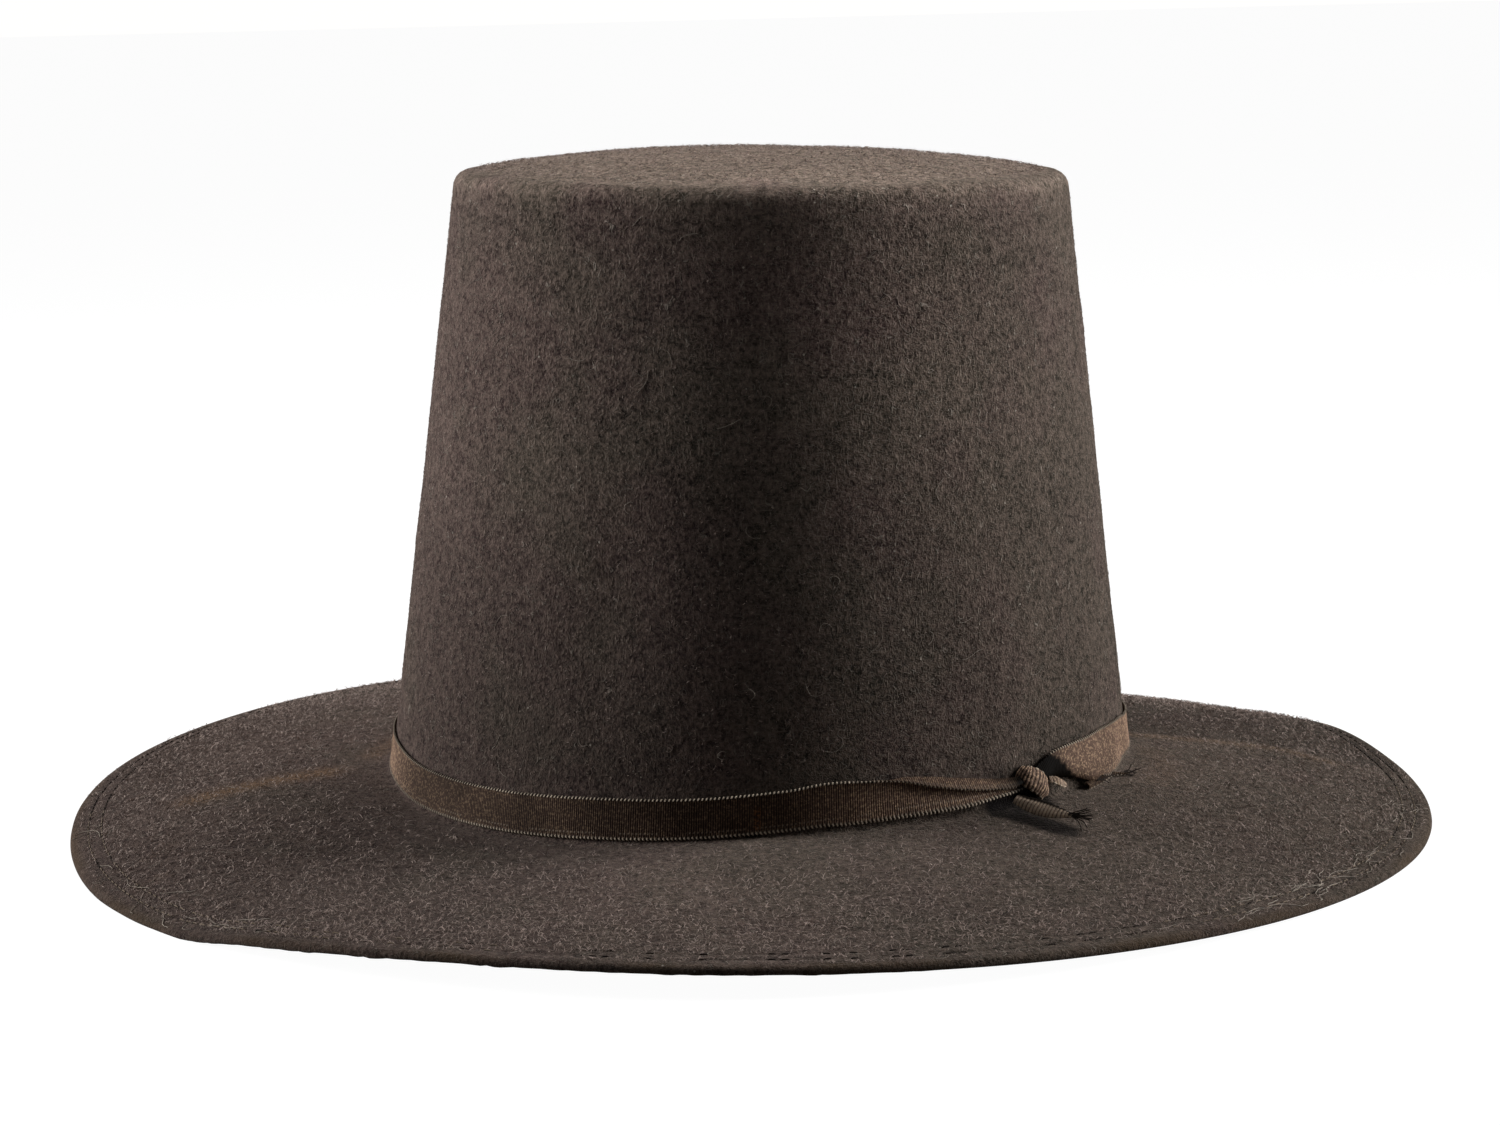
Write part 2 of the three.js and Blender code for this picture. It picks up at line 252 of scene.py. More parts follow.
# Moves a point of the plain round hat, at an angle, a radius and a height, to the oval wavy one.
def shapeFelt(angle, radius, height):
    lift, edge, crest = waveAt(angle)
    share = clamp((radius - crownBase - hat["breakRadius"]) / (hat["brimReach"] - hat["breakRadius"]))
    fade = 1 - clamp(height / sideTop)
    level = height + lift * fade
    if share > 0:
        level = height + mix(lift, edge, share) + crest * share * (1 - share)
    oval = mix(baseOval, tipOval, clamp(height / sideTop))
    if radius < flatTip:
        oval = tipOval * radius / flatTip
        level += hat["tipRise"] * (1 - (radius / flatTip) ** 2)
    inward = dentAt(angle, level) if share == 0 and 5 < level < 150 else 0
    grow = lift * fade * (1 - share)
    turn = math.radians(angle)
    return Vector(((radius + sideSlope[0] * grow - inward) * math.cos(turn) + hat["brimShift"] * share,
                   (radius - oval + sideSlope[1] * grow - inward) * math.sin(turn), level))


# Point a height above the upright frame's floor and a distance out from the crown's side.
def crownPoint(angle, out, level):
    turn = math.radians(angle)
    semi = [hat["crownHalf"][i] + sideSlope[i] * level + out for i in (0, 1)]
    return Vector((semi[0] * math.cos(turn), semi[1] * math.sin(turn), level - 0.118 * out))


# Materials

def newGroup(name, inputs, outputs):
    group = bpy.data.node_groups.new(name, "ShaderNodeTree")
    group.interface.new_socket(name="Vector", in_out="INPUT", socket_type="NodeSocketVector")
    for label, value in inputs.items():
        socket = group.interface.new_socket(name=label, in_out="INPUT", socket_type="NodeSocketFloat")
        socket.default_value = value
    for label in outputs:
        group.interface.new_socket(name=label, in_out="OUTPUT", socket_type="NodeSocketFloat")
    start = group.nodes.new("NodeGroupInput")
    end = group.nodes.new("NodeGroupOutput")
    return group, start, end


def addNode(tree, kind, **settings):
    node = tree.nodes.new("ShaderNode" + kind)
    for key, value in settings.items():
        setattr(node, key, value)
    return node


def wire(tree, source, target):
    tree.links.new(source, target)


# A number or colour is set on a socket, and another node's output is wired to it
def feed(tree, socket, value):
    if isinstance(value, bpy.types.NodeSocket):
        wire(tree, value, socket)
    else:
        socket.default_value = value


def sums(tree, operation, *values):
    node = addNode(tree, "Math", operation=operation)
    for socket, value in zip(node.inputs, values):
        feed(tree, socket, value)
    return node.outputs[0]


def times(tree, first, second):
    return sums(tree, "MULTIPLY", first, second)


def mixColour(tree, share, first, second):
    node = addNode(tree, "Mix", data_type="RGBA")
    for socket, value in zip((node.inputs[0], node.inputs[6], node.inputs[7]), (share, first, second)):
        feed(tree, socket, value)
    return node.outputs[2]


def rangeNode(tree, value, fromLow, fromHigh, toLow=0.0, toHigh=1.0):
    node = addNode(tree, "MapRange")
    wire(tree, value, node.inputs["Value"])
    limits = {"From Min": fromLow, "From Max": fromHigh, "To Min": toLow, "To Max": toHigh}
    for label, number in limits.items():
        node.inputs[label].default_value = number
    return node.outputs["Result"]


def noiseNode(tree, vector, scale, detail=2.0, roughness=0.5):
    node = addNode(tree, "TexNoise")
    wire(tree, vector, node.inputs["Vector"])
    for label, value in (("Scale", scale), ("Detail", detail), ("Roughness", roughness)):
        feed(tree, node.inputs[label], value)
    return node.outputs[0]


# A value that the mesh carries at each of its vertices
def meshValue(tree, name):
    return addNode(tree, "Attribute", attribute_name=name).outputs["Fac"]


def linear(value):
    return ((value / 255 + 0.055) / 1.055) ** 2.4 if value > 10 else value / 255 / 12.92


def colour(red, green, blue):
    return linear(red), linear(green), linear(blue), 1


# Matted fibre: a fine speckle, short streaks that cross, curly single hairs and cloudy patches
def makeFibreGroup():
    outputs = ["Speckle", "Clump", "Streak", "Hair", "Patch", "Height"]
    group, start, end = newGroup("mattedFibre", {"Grain Scale": 900.0, "Patch Scale": 14.0}, outputs)
    vector = start.outputs["Vector"]
    fine = noiseNode(group, vector, start.outputs["Grain Scale"], 3.0, 0.7)
    clump = noiseNode(group, vector, 390.0, 3.0, 0.65)
    streaks = []
    crossings = [
        ((0.3, 0.2, 0.5), (2300, 520, 2300)),
        ((0.5, 1.1, -0.7), (480, 2100, 2100)),
        ((1.2, -0.4, 1.5), (2200, 2200, 500)),
    ]
    for turn, stretch in crossings:
        place = addNode(group, "Mapping")
        wire(group, vector, place.inputs["Vector"])
        place.inputs["Rotation"].default_value = turn
        place.inputs["Scale"].default_value = stretch
        streaks.append(noiseNode(group, place.outputs[0], 1.0, 1.0, 0.5))
    crossed = sums(group, "MAXIMUM", sums(group, "MAXIMUM", streaks[0], streaks[1]), streaks[2])
    streak = rangeNode(group, crossed, 0.60, 0.78)
    hairs = []
    for scale, width, keep in ((300.0, 0.014, 0.57), (190.0, 0.009, 0.60)):
        # a hair runs where the noise passes through its middle value, and is kept in places
        offset = sums(group, "SUBTRACT", noiseNode(group, vector, scale, 1.0, 0.4), 0.5)
        line = rangeNode(group, sums(group, "ABSOLUTE", offset), width, 0.0)
        kept = rangeNode(group, noiseNode(group, vector, scale * 1.3 + 17.0, 0.0), keep, keep + 0.05)
        hairs.append(times(group, line, kept))
    hair = sums(group, "MAXIMUM", hairs[0], hairs[1])
    patch = noiseNode(group, vector, start.outputs["Patch Scale"], 5.0, 0.6)
    raised = sums(group, "ADD", times(group, streak, 0.4), times(group, hair, 0.5))
    wire(group, rangeNode(group, fine, 0.41, 0.59), end.inputs["Speckle"])
    wire(group, rangeNode(group, clump, 0.40, 0.60), end.inputs["Clump"])
    wire(group, streak, end.inputs["Streak"])
    wire(group, hair, end.inputs["Hair"])
    wire(group, rangeNode(group, patch, 0.3, 0.7), end.inputs["Patch"])
    wire(group, sums(group, "ADD", fine, raised), end.inputs["Height"])
    return group


# Dust: small pale specks that lie on the surface
def makeDustGroup():
    group, start, end = newGroup("paleDust", {"Scale": 420.0, "Amount": 0.1}, ["Mask"])
    cells = addNode(group, "TexVoronoi")
    wire(group, start.outputs["Vector"], cells.inputs["Vector"])
    wire(group, start.outputs["Scale"], cells.inputs["Scale"])
    chosen = addNode(group, "SeparateColor")
    wire(group, cells.outputs["Color"], chosen.inputs[0])
    small = sums(group, "LESS_THAN", cells.outputs["Distance"], 0.16)
    rare = sums(group, "LESS_THAN", chosen.outputs[0], start.outputs["Amount"])
    wire(group, times(group, small, rare), end.inputs["Mask"])
    return group


fibreGroup = makeFibreGroup()
dustGroup = makeDustGroup()


def newMaterial(name, roughness, sheen, sheenRoughness, sheenTint):
    material = bpy.data.materials.new(name)
    material.use_nodes = True
    tree = material.node_tree
    shader = tree.nodes["Principled BSDF"]
    shader.inputs["Roughness"].default_value = roughness
    shader.inputs["Specular IOR Level"].default_value = 0.12
    shader.inputs["Sheen Weight"].default_value = sheen
    shader.inputs["Sheen Roughness"].default_value = sheenRoughness
    shader.inputs["Sheen Tint"].default_value = sheenTint
    return material, tree, shader


def placeGroup(tree, group, vector, **values):
    node = tree.nodes.new("ShaderNodeGroup")
    node.node_tree = group
    wire(tree, vector, node.inputs["Vector"])
    for label, value in values.items():
        node.inputs[label.replace("_", " ")].default_value = value
    return node


# Colour made lighter or darker by the fade that the mesh carries, 1 for none: plain tone, painted highlight
# and painted shade
def byToneAndLight(tree, base):
    node = addNode(tree, "VectorMath", operation="SCALE")
    wire(tree, base, node.inputs[0])
    wire(tree, meshValue(tree, "fade"), node.inputs["Scale"])
    return node.outputs[0]


def bump(tree, shader, height, strength, distance):
    node = addNode(tree, "Bump")
    node.inputs["Strength"].default_value = strength
    node.inputs["Distance"].default_value = distance
    wire(tree, height, node.inputs["Height"])
    wire(tree, node.outputs[0], shader.inputs["Normal"])


feltLook = {
    "dark": colour(5, 4, 4),
    "light": colour(132, 115, 105),
    "fibre": colour(138, 126, 114),
    "hair": colour(172, 162, 150),
    "plum": colour(64, 43, 46),
    "moss": colour(50, 48, 37),
    "worn": colour(134, 104, 76),
    "rim": colour(88, 72, 56),
    "dust": colour(178, 170, 158),
    "paintedShade": colour(16, 12, 11),
}


def makeFeltMaterial():
    material, tree, shader = newMaterial("darkFelt", 0.95, 0.17, 0.22, colour(204, 188, 176))
    place = addNode(tree, "TexCoord").outputs["Object"]
    fibre = placeGroup(tree, fibreGroup, place, Grain_Scale=1000.0, Patch_Scale=26.0)
    dust = placeGroup(tree, dustGroup, place, Scale=560.0, Amount=0.03)
    tone = times(tree, fibre.outputs["Speckle"], 0.48)
    for label, weight in (("Clump", 0.36), ("Patch", 0.16)):
        tone = sums(tree, "ADD", tone, times(tree, fibre.outputs[label], weight))
    base = mixColour(tree, tone, feltLook["dark"], feltLook["light"])
    # reddish to the front of the hat, greenish to the back and on the tip, in clouds
    split = addNode(tree, "SeparateXYZ")
    wire(tree, place, split.inputs[0])
    clouds = noiseNode(tree, place, 34.0)
    faded = sums(tree, "ADD", clouds, times(tree, split.outputs[0], 1.3))
    faded = sums(tree, "ADD", faded, rangeNode(tree, split.outputs[2], 0.168, 0.178, 0.0, 0.2))
    tint = mixColour(tree, rangeNode(tree, faded, 0.38, 0.62), feltLook["plum"], feltLook["moss"])
    base = mixColour(tree, 0.34, base, tint)
    base = mixColour(tree, times(tree, fibre.outputs["Streak"], 0.5), base, feltLook["fibre"])
    base = mixColour(tree, times(tree, fibre.outputs["Hair"], 0.45), base, feltLook["hair"])
    threadbare = rangeNode(tree, fibre.outputs["Speckle"], 0.1, 0.9, 0.35, 1.0)
    base = mixColour(tree, times(tree, meshValue(tree, "wear"), threadbare), base, feltLook["worn"])
    rubbed = rangeNode(tree, fibre.outputs["Patch"], 0.35, 0.75, 0.1, 0.7)
    base = mixColour(tree, times(tree, meshValue(tree, "rim"), rubbed), base, feltLook["rim"])
    base = mixColour(tree, times(tree, dust.outputs["Mask"], 0.6), base, feltLook["dust"])
    # plain tone, with painted highlight and painted shade from the mesh's fade
    base = byToneAndLight(tree, base)
    # painted shadow under the knot and painted shade in the stitch dimples
    base = mixColour(tree, meshValue(tree, "paintedShade"), base, feltLook["paintedShade"])
    wire(tree, base, shader.inputs["Base Color"])
    bump(tree, shader, fibre.outputs["Height"], 0.9, 0.0009)
    return material


ribbonLook = {
    "groove": colour(12, 9, 8),
    "crest": colour(88, 70, 60),
    "weft": colour(150, 126, 102),
    "edge": colour(226, 208, 186),
    "rust": colour(150, 98, 58),
    "paintedRibbonShade": colour(9, 6, 4),
}


def makeRibbonMaterial():
    material, tree, shader = newMaterial("grosgrain", 0.66, 0.03, 0.35, colour(190, 165, 140))
    shader.inputs["Specular IOR Level"].default_value = 0.03
    place = addNode(tree, "TexCoord").outputs["Object"]
    fibre = placeGroup(tree, fibreGroup, place, Grain_Scale=1500.0, Patch_Scale=60.0)
    rib = meshValue(tree, "rib")
    base = mixColour(tree, rib, ribbonLook["groove"], ribbonLook["crest"])
    spark = times(tree, rib, rangeNode(tree, fibre.outputs["Speckle"], 0.55, 0.95))
    base = mixColour(tree, times(tree, spark, 0.7), base, ribbonLook["weft"])
    base = mixColour(tree, times(tree, fibre.outputs["Clump"], 0.16), base, ribbonLook["groove"])
    # painted highlight from the mesh's fade, on the band's side-lit stretches and the knot's strips
    base = byToneAndLight(tree, base)
    base = mixColour(tree, meshValue(tree, "cord"), base, ribbonLook["edge"])
    broken = times(tree, meshValue(tree, "worn"), rangeNode(tree, fibre.outputs["Speckle"], 0.3, 0.8))
    base = mixColour(tree, broken, base, ribbonLook["rust"])
    shade = rangeNode(tree, fibre.outputs["Patch"], 0.2, 0.8, 0.0, 0.35)
    base = mixColour(tree, shade, base, ribbonLook["groove"])
    # painted shade in the fold beside the knot and on the strips under it
    base = mixColour(tree, meshValue(tree, "paintedRibbonShade"), base, ribbonLook["paintedRibbonShade"])
    wire(tree, base, shader.inputs["Base Color"])
    bump(tree, shader, fibre.outputs["Height"], 0.4, 0.0002)
    return material


def makeThreadMaterial(name, dark, light, patchScale=40.0):
    material, tree, shader = newMaterial(name, 0.8, 0.2, 0.4, light)
    place = addNode(tree, "TexCoord").outputs["Object"]
    fibre = placeGroup(tree, fibreGroup, place, Grain_Scale=700.0, Patch_Scale=patchScale)
    base = mixColour(tree, fibre.outputs["Patch"], dark, light)
    base = mixColour(tree, times(tree, fibre.outputs["Speckle"], 0.3), base, dark)
    wire(tree, base, shader.inputs["Base Color"])
    bump(tree, shader, fibre.outputs["Height"], 0.3, 0.0001)
    return material


feltMaterial = makeFeltMaterial()
ribbonMaterial = makeRibbonMaterial()
darkThread = makeThreadMaterial("darkThread", colour(18, 14, 12), colour(48, 40, 35))
tanThread = makeThreadMaterial("tanThread", colour(96, 82, 68), colour(150, 136, 120))
napMaterial = makeThreadMaterial("nap", colour(42, 33, 31), colour(226, 204, 192), 700.0)
lintMaterial = makeThreadMaterial("paleLint", colour(120, 110, 100), colour(180, 170, 158))
print("materials ready")


# Felt body: profile of a round hat, spun, then shaped

# Rubbed places as lines seen from above, upright: half width, strength, and how much the felt is creased
wearLines = [
    {"wide": 5.2, "strength": 0.8, "crease": 0.0,
     "path": [(-150.9, -24.2), (-142.0, -20.0), (-134.7, -17.2), (-126.0, -14.2), (-118.0, -11.5)]},
    {"wide": 4.4, "strength": 0.4, "crease": 0.0, "path": [(-106.0, 4.0), (-103.0, 14.0), (-98.0, 30.0)]},
    {"wide": 2.4, "strength": 0.08, "crease": 0.9, "path": [(-156.5, -62.0), (-151.5, -56.0)]},
    {"wide": 2.2, "strength": 0.1, "crease": 0.6, "path": [(-156.0, -79.0), (-150.5, -74.5)]},
    {"wide": 2.6, "strength": 0.34, "crease": 0.0,
     "path": [(102.8, 12.3), (116.5, 11.1), (130.7, 12.8), (144.9, 13.9), (157.6, 7.7)]},
    {"wide": 5.0, "strength": 0.16, "crease": 0.0, "path": [(104.0, -36.0), (108.0, -22.0), (107.0, -6.0)]},
    {"wide": 1.2, "strength": 0.0, "crease": 0.8, "path": [(160.0, -66.0), (165.0, -62.5)]},
]
# Painted shadow on the felt under the knot and the lower free end
shadowLines = [
    {"path": [(60.0, -68.0), (66.0, -66.5), (70.5, -62.0)], "wide": 4.2},
    {"path": [(60.5, -71.0), (66.5, -74.2), (71.0, -78.0), (75.6, -81.2)], "wide": 3.8},
]
# Broad places where the felt is made lighter or darker: middle, reach and gain
toneSpots = [
    {"place": (26, -80, 128), "reach": 40, "gain": 0.4},
    {"place": (-68, -72, 20), "reach": 48, "gain": -0.25},
    {"place": (-105, -105, 0), "reach": 60, "gain": -0.2},
    {"place": (-28, -112, 0), "reach": 22, "gain": 0.3},
    {"place": (-112, 45, 0), "reach": 55, "gain": 0.3},
    {"place": (130, -30, 0), "reach": 60, "gain": 0.12},
]
# How pale the felt is, 1 for its plain colour, with painted highlight on the tip and painted shade and
# highlight about the back trough
toneAndPaintedLight = {
    "crown": (0.8, 1.08),          # at its foot and near its top
    "brim": (0.92, 0.76),          # at its root and at its edge
    "tip": 2.0,
    "tipMiddleHighlight": 0.8,              # painted highlight added inside the tip's outer ring
    "tipFarHighlight": 0.3,                 # painted highlight added towards the far side of the tip
    # painted shade behind the back trough and painted highlight just before it
    "shadeBehindTrough": -0.26,
    "highlightBeforeTrough": 0.2,
}
# The brim turns up behind a line at the back: where the line starts, its length, and its place across. The
# felt is painted darker behind it as shade and lighter just before it as highlight
trough = {"start": 96, "length": 64, "levels": [13.0, 12.2, 13.2, 14.8, 8.5]}


def toneAndLightOf(place, brimward):
    if brimward > 0:
        fade = mix(*toneAndPaintedLight["brim"], brimward)
    else:
        fade = mix(*toneAndPaintedLight["crown"], smooth(0, 120, place.z))
    # painted highlight on the tip
    fade = mix(fade, toneAndPaintedLight["tip"], smooth(sideTop - 2, sideTop + 3, place.z))
    if place.z > sideTop + 3:
        halfLength, halfWidth = hat["tipHalf"]
        reach = place.xy.length * halfWidth / (halfWidth + tipOval * abs(place.x) / halfLength)
        fade *= 1 + toneAndPaintedLight["tipMiddleHighlight"] * smooth(66, 56, reach)
        fade *= 1 + toneAndPaintedLight["tipFarHighlight"] * smooth(10, 60, place.y)
    for spot in toneSpots:
        far = (place - Vector(spot["place"])).length / spot["reach"]
        fade *= 1 + spot["gain"] * math.exp(-far * far)
    # painted shade behind the back trough and painted highlight just before it
    if brimward > 0 and place.x > 90:
        behind = place.y - valueAt(trough["levels"], (place.x - trough["start"]) / trough["length"])
        fade *= 1 + toneAndPaintedLight["shadeBehindTrough"] * smooth(-1, 5, behind) * smooth(95, 35, place.y)
        fade *= 1 + toneAndPaintedLight["highlightBeforeTrough"] * smooth(-14, -1, behind) * smooth(4, 0, behind)
    return fade


# Broad unevenness of old felt: the point of the even surface, moved
def weather(place, radius, height):
    wrinkle = noise.noise(place * felt["wrinkleScale"])
    dimple = 0.45 * noise.noise(place * felt["dimpleScale"])
    push = felt["wrinkleDepth"] * (wrinkle + dimple)
    if radius > crownBase + 3:
        place.z += push * 1.3 * smooth(0, 10, edgeRadius - radius)
    elif radius > flatTip:
        outward = Vector((place.x, place.y, 0)).normalized()
        crease = noise.noise(Vector((place.x * 0.03, place.y * 0.03, place.z * 0.22)))
        place += outward * (push + felt["creaseDepth"] * crease) * smooth(4, 16, height)
    else:
        place.z += push * 1.5
    return place


# Points on the outside of the weathered felt, and a little above it
def onBrim(angle, out, above=0.0):
    place = weather(shapeFelt(angle, crownBase + out, 0), crownBase + out, 0)
    place.z += above
    return place


def onSide(angle, level, above=0.0):
    radius = crownBase + sideSlope[0] * level
    return weather(shapeFelt(angle, radius + above, level), radius, level)


def onTip(angle, radius, above=0.0):
    place = weather(shapeFelt(angle, radius, hat["crownHeight"]), radius, hat["crownHeight"])
    place.z += above
    return place


# Distance of a point from a line of a few straight stretches, seen from above
def farFrom(path, x, y):
    nearest = 1e9
    for (startX, startY), (endX, endY) in zip(path, path[1:]):
        runX, runY = endX - startX, endY - startY
        share = clamp(((x - startX) * runX + (y - startY) * runY) / (runX * runX + runY * runY))
        nearest = min(nearest, math.hypot(x - startX - share * runX, y - startY - share * runY))
    return nearest


def makeFelt():
    bm = bmesh.new()
    thick = hat["feltThickness"]
    rim = thick / 2
    edge = edgeRadius - rim
    bend = hat["breakRadius"]
    foot = crownBase + sideSlope[0] * bend        # radius of the side where it starts to bend out
    outer, inner = felt["stitchRows"]
    stops = [edgeRadius - inner + step for step in (-1.2, -0.5, 0, 0.5)]
    stops += [edgeRadius - outer + step for step in (-0.5, 0, 0.5)]
    vert = bm.verts.new((0, 0, hat["crownHeight"]))
    vert = lineTo(bm, vert, (flatTip, hat["crownHeight"]), 10)
    vert = arcTo(bm, vert, (flatTip, sideTop), 90, 5)
    vert = lineTo(bm, vert, (foot, bend), 28)
    vert = arcTo(bm, vert, (foot + bend, bend), -90, 4)
    vert = lineTo(bm, vert, (stops[0], 0), 30)
    for stop in stops[1:]:
        vert = lineTo(bm, vert, (stop, 0))
    vert = lineTo(bm, vert, (edge, 0), 2)
    vert = arcTo(bm, vert, (edge, -rim), 180, 6)
    for stop in reversed(stops):
        vert = lineTo(bm, vert, (stop, -thick))
    vert = lineTo(bm, vert, (foot + bend, -thick), 9)
    vert = arcTo(bm, vert, (foot + bend, bend), 90, 4)
    vert = lineTo(bm, vert, (flatTip + hat["cornerRadius"] - thick, sideTop), 8)
    vert = arcTo(bm, vert, (flatTip, sideTop), -90, 3)
    lineTo(bm, vert, (0, hat["crownHeight"] - thick), 4)
    spinRound(bm, felt["steps"])

    labels = ("rim", "wear", "paintedShade", "fade")
    for label in labels:
        bm.verts.layers.float.new(label)
    rimLayer, wearLayer, paintedShadeLayer, toneAndLightLayer = (bm.verts.layers.float[label] for label in labels)
    toHat = toRow.inverted()
    for vert in bm.verts:
        radius = math.hypot(vert.co.x, vert.co.y)
        angle = turnOf(vert.co)
        height = vert.co.z
        fromEdge = edgeRadius - radius
        # stitching pulls the felt down a little, most where the thread goes through
        dip = 0.0
        for row in felt["stitchRows"]:
            if abs(fromEdge - row) < 0.3:
                step = round(angle / 360 * felt["steps"])
                pulled = 1.0 if step % 2 == 0 else 0.45
                dip = felt["stitchDip"] * pulled
        side = 1 if height > -rim else -1
        height -= dip * side
        # small puckers along the edge, on the underside alone
        if fromEdge < 3 and height < -rim:
            wander = noise.noise((angle, 3, 1))
            pucker = abs(math.sin(math.radians(angle) * felt["puckersToRadian"] * math.pi + wander))
            front = smooth(-160, -150, angle) * (1 - smooth(-92, -70, angle))
            deep = max(0, noise.noise(Vector((angle * 0.3, 3, 1))) + 0.25)
            height -= felt["puckerDepth"] * pucker * deep * front * smooth(3, 1, fromEdge)
        place = shapeFelt(angle, radius, height)
        plain = place.copy()
        place = weather(place, radius, height)
        wear = paintedShade = 0.0
        if radius > crownBase + 3 and height > -rim:
            for line in wearLines:
                near = math.exp(-(farFrom(line["path"], place.x, place.y) / line["wide"]) ** 2)
                wear = max(wear, line["strength"] * near)
                if line["crease"] and near > 0.01:
                    fold = noise.noise(Vector((place.x * 0.42, place.y * 0.42, 2)))
                    place.z += line["crease"] * near * (fold - 0.15)
        row = toRow @ place
        if row.z < 0:
            row.z = 0
            place = toHat @ row
        vert.co = place
        vert[rimLayer] = smooth(3.5, 0.4, fromEdge)
        vert[wearLayer] = wear
        # painted shadow under the knot and the lower free end
        if height > -rim and angle > -70 and angle < -30 and plain.z < 30:
            for line in shadowLines:
                far = farFrom(line["path"], plain.x, plain.y) / line["wide"]
                paintedShade = max(paintedShade, smooth(1.35, 0.75, far) * smooth(9, 5, height))
        # painted shade in the dimples where the stitching pulls the felt down
        if dip:
            paintedShade = max(paintedShade, 0.7 * pulled ** 2 * (1 - 0.8 * smooth(48, 30, abs(angle + 90))))
        vert[paintedShadeLayer] = paintedShade
        # plain tone, with painted highlight on the tip and painted shade and highlight at the back trough
        vert[toneAndLightLayer] = toneAndLightOf(plain, (radius - crownBase) / hat["brimReach"])
    finishPiece(bm, "hatFelt", feltMaterial, ["felt_body"])


makeFelt()


# Ribbon round the crown

ribbon = {
    "ribs": 1050,
    "stepsToRib": 4,
    "width": 9.8,
    "thickness": 0.46,
    "ribDepth": 0.055,
    "cordRibs": 1.75,              # ribs to each loop of the corded edge
    "cordSwell": 0.3,
    "beadSwell": 0.24,             # how much thicker the corded edges are
    "dotLevel": 1.6,               # a row of pale dots above the lower edge
    "dotPale": 0.3,
    "seamAngle": -90.6,
    "seamHalf": 0.45,
    "fade": 1.12,
    "highlightBehindKnot": 1.4,
    "highlightFront": 1.1,
    "highlightBeforeKnot": 1.5,
}
# Level of the lower and upper edge where the ribbon lies flat
ribbonFlat = [
    {"angle": -180, "low": 0.75, "high": 10.6}, {"angle": -166, "low": -0.7, "high": 9.2},
    {"angle": -152, "low": -2.7, "high": 7.4}, {"angle": -131, "low": -2.8, "high": 7.4},
    {"angle": -114, "low": -1.4, "high": 8.8}, {"angle": -99, "low": 0.4, "high": 10.2},
    {"angle": -85, "low": 2.8, "high": 12.7}, {"angle": -76, "low": 3.8, "high": 14.3},
    {"angle": -40, "low": 6.0, "high": 16.0}, {"angle": -24, "low": 6.2, "high": 17.0},
    {"angle": -12, "low": 6.0, "high": 15.9}, {"angle": 8, "low": 4.6, "high": 14.4},
    {"angle": 34, "low": 3.9, "high": 13.7}, {"angle": 68, "low": 3.2, "high": 13.0},
    {"angle": 95, "low": 2.8, "high": 12.6}, {"angle": 128, "low": 1.9, "high": 11.7},
    {"angle": 158, "low": 1.2, "high": 11.0},
]
# Sections near the knot, from the lower edge to the upper: distance out from the crown, and level
ribbonFolds = [
    (-78, [(0.6, 3.6), (0.6, 5.4), (0.6, 7.2), (0.6, 9.0), (0.6, 10.8), (0.65, 12.6), (0.8, 14.3)]),
    (-70, [(1.1, 4.7), (0.8, 7.0), (0.6, 9.4), (0.6, 11.8), (0.8, 14.3), (1.4, 14.9), (2.0, 14.1)]),
    (-65, [(1.9, 5.5), (1.2, 7.6), (0.6, 9.8), (0.6, 12.0), (1.1, 14.0), (2.1, 13.9), (2.6, 12.3)]),
    (-60, [(2.5, 6.2), (1.6, 7.9), (0.7, 9.4), (0.7, 11.6), (1.3, 12.9), (2.5, 12.5), (2.9, 10.8)]),
    (-54, [(3.0, 7.7), (2.0, 8.6), (0.9, 9.2), (0.9, 10.7), (1.6, 11.6), (2.7, 11.2), (3.1, 9.8)]),
    (-50, [(2.8, 8.4), (1.9, 8.7), (1.0, 9.2), (1.0, 10.3), (1.7, 11.2), (2.6, 10.8), (2.9, 9.8)]),
    (-45, [(0.9, 9.6), (1.2, 8.8), (2.1, 8.9), (2.6, 9.8), (2.4, 11.2), (1.8, 12.3), (1.0, 13.2)]),
    (-41.5, [(0.8, 9.6), (1.0, 9.0), (1.6, 9.6), (1.9, 11.1), (1.8, 12.8), (1.4, 14.2), (1.1, 15.5)]),
    (-37, [(0.9, 9.0), (1.2, 8.0), (1.9, 8.3), (2.3, 10.1), (2.1, 12.2), (1.6, 14.4), (1.1, 16.3)]),
    (-32, [(1.2, 7.6), (1.9, 6.0), (2.9, 6.2), (3.1, 8.4), (2.5, 11.2), (1.8, 14.0), (1.0, 16.7)]),
    (-27, [(2.6, 5.3), (2.5, 7.2), (2.3, 9.1), (2.0, 11.1), (1.6, 13.1), (1.2, 15.1), (0.8, 17.1)]),
    (-18, [(1.1, 6.6), (1.0, 8.3), (0.9, 10.0), (0.8, 11.8), (0.7, 13.5), (0.6, 15.2), (0.6, 16.8)]),
]


